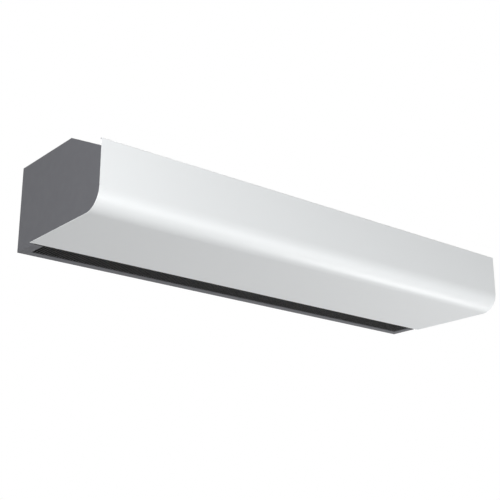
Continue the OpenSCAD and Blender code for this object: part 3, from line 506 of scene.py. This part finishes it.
# Intake panel: rows of round-ended slots on the slope, which falls from its top edge to the front
PANEL_T = 0.0012
SLOPE_TOP = (-0.0445, 0.254)
SLOPE_FALL, SLOPE_RUN = 0.087, 0.181
SLOPE = math.atan2(SLOPE_FALL, SLOPE_RUN)
PANEL_HALF = 0.7638
PANEL_LOW, PANEL_HIGH = -0.16982, -0.001
# each pair runs along the unit first and then up the slope
SLOT = (0.104, 0.006)
SLOT_STEP = (0.122, 0.011)
SLOT_COUNT = (12, 13)
SLOTS_MIDDLE = -0.0889
PANEL_FOLD, FOLD_INSET = 0.012, 0.016


def on_slope(u, v, depth):
    """A point of the sloped panel: u along the unit, v up the slope from its top edge, depth inwards."""
    return (u, SLOPE_TOP[0] + v * math.cos(SLOPE) + depth * math.sin(SLOPE),
            SLOPE_TOP[1] + v * math.sin(SLOPE) - depth * math.cos(SLOPE))


def slot_cell(cu, cv):
    """Polygons that fill one cell of the slot pattern round its slot."""
    half_u, half_v, r = SLOT_STEP[0] / 2, SLOT_STEP[1] / 2, SLOT[1] / 2
    straight = SLOT[0] / 2 - r
    quarter_turn = [math.radians(22.5 * i) for i in range(5)]
    inner = [(straight + r * math.cos(a), r * math.sin(a)) for a in quarter_turn]
    outer = [(half_u, 0.0), (half_u, half_v / 2), (half_u, half_v), ((half_u + straight) / 2, half_v),
             (straight, half_v)]
    quarter = [[inner[i], outer[i], outer[i + 1], inner[i + 1]] for i in range(4)]
    polygons = [mirrored(q, fu, fv) for q in quarter for fu in (False, True) for fv in (False, True)]
    bridge = [(-straight, r), (straight, r), (straight, half_v), (-straight, half_v)]
    polygons += [bridge, mirrored(bridge, False, True)]
    return [[(cu + u, cv + v) for u, v in polygon] for polygon in polygons]


def build_intake_panel(builder):
    """The slotted sheet with its plain border and the fold along its lower edge."""
    cols, rows = SLOT_COUNT
    half_u, half_v = cols * SLOT_STEP[0] / 2, rows * SLOT_STEP[1] / 2
    middles = [(i + 0.5) * SLOT_STEP[0] - half_u for i in range(cols)]
    levels = [SLOTS_MIDDLE + (j + 0.5) * SLOT_STEP[1] - half_v for j in range(rows)]
    polygons = [polygon for u in middles for v in levels for polygon in slot_cell(u, v)]
    # the plain border meets the cells at the corners that slot_cell gives their outer edges
    reach = SLOT_STEP[0] / 2
    straight = (SLOT[0] - SLOT[1]) / 2
    corners = [side * u for side in (-1, 1) for u in (straight, (straight + reach) / 2, reach)]
    us = sorted({round(middle + u, 6) for middle in middles for u in corners})
    vs = [round(SLOTS_MIDDLE - half_v + i * SLOT_STEP[1] / 4, 6) for i in range(4 * rows + 1)]
    low, high = vs[0], vs[-1]
    for a, b in zip(us, us[1:]):
        polygons.append([(a, high), (b, high), (b, PANEL_HIGH), (a, PANEL_HIGH)])
        polygons.append([(a, PANEL_LOW), (b, PANEL_LOW), (b, low), (a, low)])
    for a, b in zip(vs, vs[1:]):
        polygons.append([(half_u, a), (PANEL_HALF, a), (PANEL_HALF, b), (half_u, b)])
        polygons.append([(-PANEL_HALF, a), (-half_u, a), (-half_u, b), (-PANEL_HALF, b)])
    for u0, u1 in ((-PANEL_HALF, -half_u), (half_u, PANEL_HALF)):
        for v0, v1 in ((PANEL_LOW, low), (high, PANEL_HIGH)):
            polygons.append([(u0, v0), (u1, v0), (u1, v1), (u0, v1)])
    add_plate(builder, polygons, on_slope, PANEL_T)
    fold = [on_slope(0, PANEL_LOW + dv, d)[1:] for dv, d in
            ((0, PANEL_T / 2), (PANEL_T, PANEL_T / 2), (PANEL_T, PANEL_FOLD), (0, PANEL_FOLD))]
    extrude_x(builder, fold, -PANEL_HALF + FOLD_INSET, PANEL_HALF - FOLD_INSET)


intake_panel = new_piece("intake_panel", build_intake_panel, "grille_paint", "casing", ["intake_grille"])
soften(intake_panel, SHEET_EDGE)

# Fan scrolls: a wrapper between two side plates with seamed edges and bell-shaped inlets
# FAN_AXIS is (y, z) in the part; TONGUE_Y, SCROLL_END, FAN_DROP and FLANGE_Y are measured from it
FAN_AXIS = (0.0893, 0.138)
FAN_X = (-0.562, -0.168, 0.168, 0.562)
SCROLL_START, SCROLL_GROWTH = 0.080, 0.042
SCROLL_END = SCROLL_START + SCROLL_GROWTH
TONGUE_Y = SCROLL_START * math.cos(math.radians(45))
FAN_DROP = 0.079
SCROLL_T = 0.001
SCROLL_HALF = 0.082
INLET_R = 0.058
SEAM_RISE, SEAM_W, SEAM_PROUD = 0.0016, 0.0040, 0.0005
BELL_DEPTH, BELL_FLARE, BELL_SKIN = 0.005, 0.007, 0.0002
BEAD_RISE, BEAD_IN, BEAD_TOP, BEAD_OUT = 0.0012, 0.0015, 0.0035, 0.0045
BELL_BACK, PLATE_HOLE = 0.001, 0.002
FLANGE_Y, FLANGE_REACH, FLANGE_T = (0.04457, 0.134), 0.012, 0.0015
SPIRAL_STEPS = 84
SPIRAL_TURN = 315
TONGUE_ANGLE = -45


def spiral_angle(share):
    """The angle where a share of the spiral's growth is reached."""
    return math.radians(TONGUE_ANGLE - SPIRAL_TURN * share)


def spiral(extra):
    """The scroll's curve round the fan axis, from its end at the outlet back to the tongue."""
    points = []
    for i in range(SPIRAL_STEPS + 1):
        share = 1 - i / SPIRAL_STEPS
        turn, radius = spiral_angle(share), SCROLL_START + SCROLL_GROWTH * share + extra
        points.append((radius * math.cos(turn), radius * math.sin(turn)))
    return points


def scroll_band(inner, outer):
    """A closed section between two offsets of the scroll's outline, as points of the part."""
    ends = [[(SCROLL_END + e, -FAN_DROP)] + spiral(e) + [(TONGUE_Y - e, -FAN_DROP)] for e in (outer, inner)]
    return [(FAN_AXIS[0] + y, FAN_AXIS[1] + z) for y, z in ends[0] + ends[1][::-1]]


def side_plate_polygons(extra, hole_r):
    """Polygons of one side plate between its round hole and the scroll's outline."""
    curve = spiral(extra)
    angles = [spiral_angle(1 - i / SPIRAL_STEPS) for i in range(SPIRAL_STEPS + 1)]
    hole = [(hole_r * math.cos(a), hole_r * math.sin(a)) for a in angles]
    polygons = [[hole[i], curve[i], curve[i + 1], hole[i + 1]] for i in range(SPIRAL_STEPS)]
    open_angles = [math.radians(TONGUE_ANGLE + 4.5 * i) for i in range(11)]
    gap = [(hole_r * math.cos(a), hole_r * math.sin(a)) for a in open_angles]
    neck = [curve[-1], (TONGUE_Y - extra, -FAN_DROP), (SCROLL_END + extra, -FAN_DROP), curve[0]]
    return polygons + [gap[::-1] + neck]


def bell_profile(side):
    """The inlet's flared ring and its raised bead, as (x, radius) from the scroll's middle."""
    quarter = [math.radians(15 * i) for i in range(7)]
    inside = [(BELL_DEPTH * (1 - math.sin(a)), INLET_R + BELL_FLARE * (1 - math.cos(a))) for a in quarter]
    flare_r = INLET_R + BELL_FLARE
    bead = [(-BEAD_RISE, flare_r + BEAD_IN), (-BEAD_RISE, flare_r + BEAD_TOP), (0.0, flare_r + BEAD_OUT)]
    back = [(SCROLL_T, flare_r + BEAD_OUT), (SCROLL_T + BELL_SKIN, flare_r + BELL_BACK)]
    behind = [(BELL_DEPTH * (1 - math.sin(a)) + BELL_SKIN,
               INLET_R + SCROLL_T + BELL_FLARE * (1 - math.cos(a))) for a in quarter[::-1][2:]]
    return [(side * (SCROLL_HALF - x), r) for x, r in inside + bead + back + behind]


def build_scroll(builder, x):
    """One scroll whose middle is at x: wrapper, side plates, seams, inlets and the flange at its outlet."""
    wrap_half = SCROLL_HALF - SCROLL_T / 2
    extrude_x(builder, scroll_band(0.0, SCROLL_T), x - wrap_half, x + wrap_half)
    plate = side_plate_polygons(SCROLL_T + SEAM_RISE, INLET_R + BELL_FLARE + PLATE_HOLE)
    for side in (-1, 1):
        outer_face = x + side * SCROLL_HALF

        def place(u, v, depth, outer_face=outer_face, side=side):
            return (outer_face - side * depth, FAN_AXIS[0] + u, FAN_AXIS[1] + v)

        add_plate(builder, plate, place, SCROLL_T)
        seam_x = sorted((outer_face + side * SEAM_PROUD, outer_face - side * SEAM_W))
        extrude_x(builder, scroll_band(-SEAM_PROUD, SCROLL_T + SEAM_RISE + SEAM_PROUD), *seam_x)
        revolve_x(builder, bell_profile(side), FAN_AXIS, x)
    y0, y1 = FLANGE_Y
    half = SCROLL_HALF + FLANGE_REACH
    outer = [(-half, y0), (half, y0), (half, y1), (-half, y1)]
    inside = SCROLL_HALF - SCROLL_T
    hole = [(-inside, TONGUE_Y), (inside, TONGUE_Y), (inside, SCROLL_END), (-inside, SCROLL_END)]
    frame_parts = [[outer[i], outer[(i + 1) % 4], hole[(i + 1) % 4], hole[i]] for i in range(4)]
    add_plate(builder, frame_parts,
              lambda u, v, d: (x + u, FAN_AXIS[0] + v, FAN_AXIS[1] - FAN_DROP + FLANGE_T - d), FLANGE_T)


for number, fan_x in enumerate(FAN_X, 1):
    scroll = new_piece(f"fan_scroll_{number}", lambda b, x=fan_x: build_scroll(b, x), "galvanised", "casing",
                       [f"scroll_housing_{number}"])
    soften(scroll, SHEET_EDGE)

# Motors: a laminated middle band between two end bells held by through bolts
MOTOR_X = (-0.365, 0.365)
MOTOR_R, MOTOR_HALF = 0.052, 0.055
BAND_HALF, BAND_R = 0.020, 0.0512
SEAM_X, SEAM_DEEP = 0.0445, 0.001
SEAM_GAP, BAND_STEP = 0.001, 0.0012
BELL_INSET, BELL_ROUND = 0.0003, 0.009
SHELL_T, BELL_T, BELL_HOLLOW_R = 0.003, 0.003, 0.040
BOSS_R, BOSS_RISE, BOSS_ROUND = 0.021, 0.004, 0.001
BOSS_FOOT_R, BOSS_KNEE_R, BOSS_KNEE = 0.027, 0.024, 0.0008
SHAFT_HOLE_R = 0.007
BOLT_CIRCLE, BOLT_R, BOLT_H, BOLT_SUNK = 0.040, 0.0036, 0.0026, 0.0005
BOLT_TIP_R = 0.0002
MOTOR_EDGE = 0.0002


def motor_profile():
    """The motor's shell as (x, radius), a closed loop symmetric about its middle."""
    groove_r, bell_r, boss_end = MOTOR_R - SEAM_DEEP, MOTOR_R - BELL_INSET, MOTOR_HALF + BOSS_RISE
    half = [(0.0, BAND_R), (BAND_HALF, BAND_R), (BAND_HALF, MOTOR_R - 2 * SEAM_DEEP),
            (BAND_HALF + BAND_STEP, MOTOR_R - 2 * SEAM_DEEP), (BAND_HALF + BAND_STEP, MOTOR_R),
            (SEAM_X, MOTOR_R), (SEAM_X, groove_r), (SEAM_X + SEAM_GAP, groove_r), (SEAM_X + SEAM_GAP, bell_r)]
    half += [(MOTOR_HALF - BELL_ROUND * (1 - math.sin(a)), bell_r - BELL_ROUND * (1 - math.cos(a)))
             for a in [math.radians(15 * i) for i in range(1, 7)]]
    half += [(MOTOR_HALF, BOSS_FOOT_R), (MOTOR_HALF + BOSS_KNEE, BOSS_KNEE_R),
             (boss_end - BOSS_ROUND, BOSS_R), (boss_end, BOSS_R - BOSS_ROUND),
             (boss_end, SHAFT_HOLE_R), (MOTOR_HALF - BELL_T, SHAFT_HOLE_R),
             (MOTOR_HALF - BELL_T, BELL_HOLLOW_R), (SEAM_X, MOTOR_R - SHELL_T), (0.0, MOTOR_R - SHELL_T)]
    return half + [(-x, r) for x, r in half[::-1] if x > 0.0]


def build_motor(builder, x):
    """One motor shell whose middle is at x, with the hexagon heads of its bolts at both ends."""
    revolve_x(builder, motor_profile(), FAN_AXIS, x, steps=96)
    for side in (-1, 1):
        for k in range(4):
            turn = math.radians(45 + 90 * k)
            centre = (FAN_AXIS[0] + BOLT_CIRCLE * math.cos(turn), FAN_AXIS[1] + BOLT_CIRCLE * math.sin(turn))
            face = side * (MOTOR_HALF - BOLT_SUNK)
            head = [(face, BOLT_TIP_R), (face, BOLT_R), (face + side * BOLT_H * 0.7, BOLT_R),
                    (face + side * BOLT_H, BOLT_R * 0.7), (face + side * BOLT_H, BOLT_TIP_R)]
            revolve_x(builder, head, centre, x, steps=6)


for number, motor_x in enumerate(MOTOR_X, 1):
    motor = new_piece(f"motor_shell_{number}", lambda b, x=motor_x: build_motor(b, x), "motor_paint",
                      "casing", [f"motor_housing_{number}"])
    soften(motor, MOTOR_EDGE)


# ---------------------------------------------------------------- stage, light and camera

FLOOR_Z = -4.0
FLOOR_HALF = 60.0
FLOOR_GLOW = 0.84


def seen_rays(tree):
    """1 for the rays that show a thing to the camera, directly, in gloss or through glass; 0 for light."""
    path = tree.nodes.new("ShaderNodeLightPath")
    seen = path.outputs["Is Camera Ray"]
    for other in ("Is Glossy Ray", "Is Transmission Ray"):
        either = tree.nodes.new("ShaderNodeMath")
        either.operation = "MAXIMUM"
        tree.links.new(seen, either.inputs[0])
        tree.links.new(path.outputs[other], either.inputs[1])
        seen = either.outputs[0]
    return seen


def make_floor():
    """A wide white floor far below, which takes the shadow and glows only for rays that show it."""
    mesh = bpy.data.meshes.new("floor")
    builder = bmesh.new()
    corners = [(-1, -1), (1, -1), (1, 1), (-1, 1)]
    builder.faces.new([builder.verts.new((x * FLOOR_HALF, y * FLOOR_HALF, FLOOR_Z)) for x, y in corners])
    builder.to_mesh(mesh)
    builder.free()
    floor = bpy.data.objects.new("floor", mesh)
    scene.collection.objects.link(floor)
    look = Shader("pale floor", Roughness=0.9, Specular_IOR_Level=0.1, Emission_Color=(1.0, 1.0, 1.0, 1.0))
    patches = look.noise(0.4, detail=2.0)
    look.feed("Base Color", look.ramp(patches, (0.3, (0.84, 0.84, 0.84)), (0.7, (0.87, 0.87, 0.87))))
    look.feed("Emission Strength", look.spread(seen_rays(look.tree), 0.0, 1.0, 0.0, FLOOR_GLOW))
    mesh.materials.append(look.material)


def make_world(fill):
    """White for the camera, reflections and glass; a weaker white as the fill light."""
    world = bpy.data.worlds.new("studio")
    world.use_nodes = True
    scene.world = world
    tree = world.node_tree
    background = tree.nodes["Background"]
    background.inputs["Color"].default_value = (1.0, 1.0, 1.0, 1.0)
    level = tree.nodes.new("ShaderNodeMapRange")
    level.inputs["To Min"].default_value = fill
    level.inputs["To Max"].default_value = 1.0
    tree.links.new(seen_rays(tree), level.inputs["Value"])
    tree.links.new(level.outputs["Result"], background.inputs["Strength"])


LAMP_AIM = (0.0, -0.1, 0.05)


def area_lamp(name, place, size, power):
    """A soft lamp that faces the middle of the unit and isn't seen itself; size is its width and height."""
    lamp = bpy.data.lights.new(name, "AREA")
    lamp.shape = "RECTANGLE"
    lamp.size, lamp.size_y = size
    lamp.energy = power
    holder = bpy.data.objects.new(name, lamp)
    scene.collection.objects.link(holder)
    holder.location = place
    holder.rotation_mode = "QUATERNION"
    holder.rotation_quaternion = (Vector(LAMP_AIM) - Vector(place)).to_track_quat("-Z", "Y")
    holder.visible_camera = False


make_floor()
make_world(fill=0.11)
area_lamp("key", (-3.0, -2.0, 0.15), (1.6, 1.6), 95.5)
area_lamp("low", (1.0, -2.4, -1.6), (3.2, 1.6), 45.0)
area_lamp("bend", (2.6, -0.4, -2.4), (1.6, 1.2), 27.5)
area_lamp("back", (0.8, 3.4, 2.2), (2.4, 2.4), 72.0)
area_lamp("right", (3.6, 0.8, 0.9), (1.6, 1.6), 42.0)

CAMERA_PLACE = (-1.9739, -2.2694, -0.8809)
CAMERA_YAW = 39.373
CAMERA_PITCH = 18.239
CAMERA_ROLL = 0.022
CAMERA_LENS = 73.18
CAMERA_SENSOR = 36.0
CAMERA_REACH = (0.05, 200.0)


def make_camera():
    """The photograph's viewpoint: yaw from +Y towards +X, pitch up, in degrees."""
    data = bpy.data.cameras.new("camera")
    data.lens = CAMERA_LENS
    data.sensor_width = CAMERA_SENSOR
    camera = bpy.data.objects.new("camera", data)
    scene.collection.objects.link(camera)
    camera.location = CAMERA_PLACE
    turn = (Matrix.Rotation(math.radians(-CAMERA_YAW), 4, "Z")
            @ Matrix.Rotation(math.radians(90 + CAMERA_PITCH), 4, "X")
            @ Matrix.Rotation(math.radians(CAMERA_ROLL), 4, "Z"))
    camera.rotation_euler = turn.to_euler()
    data.clip_start, data.clip_end = CAMERA_REACH
    scene.camera = camera


make_camera()
scene.view_settings.view_transform = "Standard"
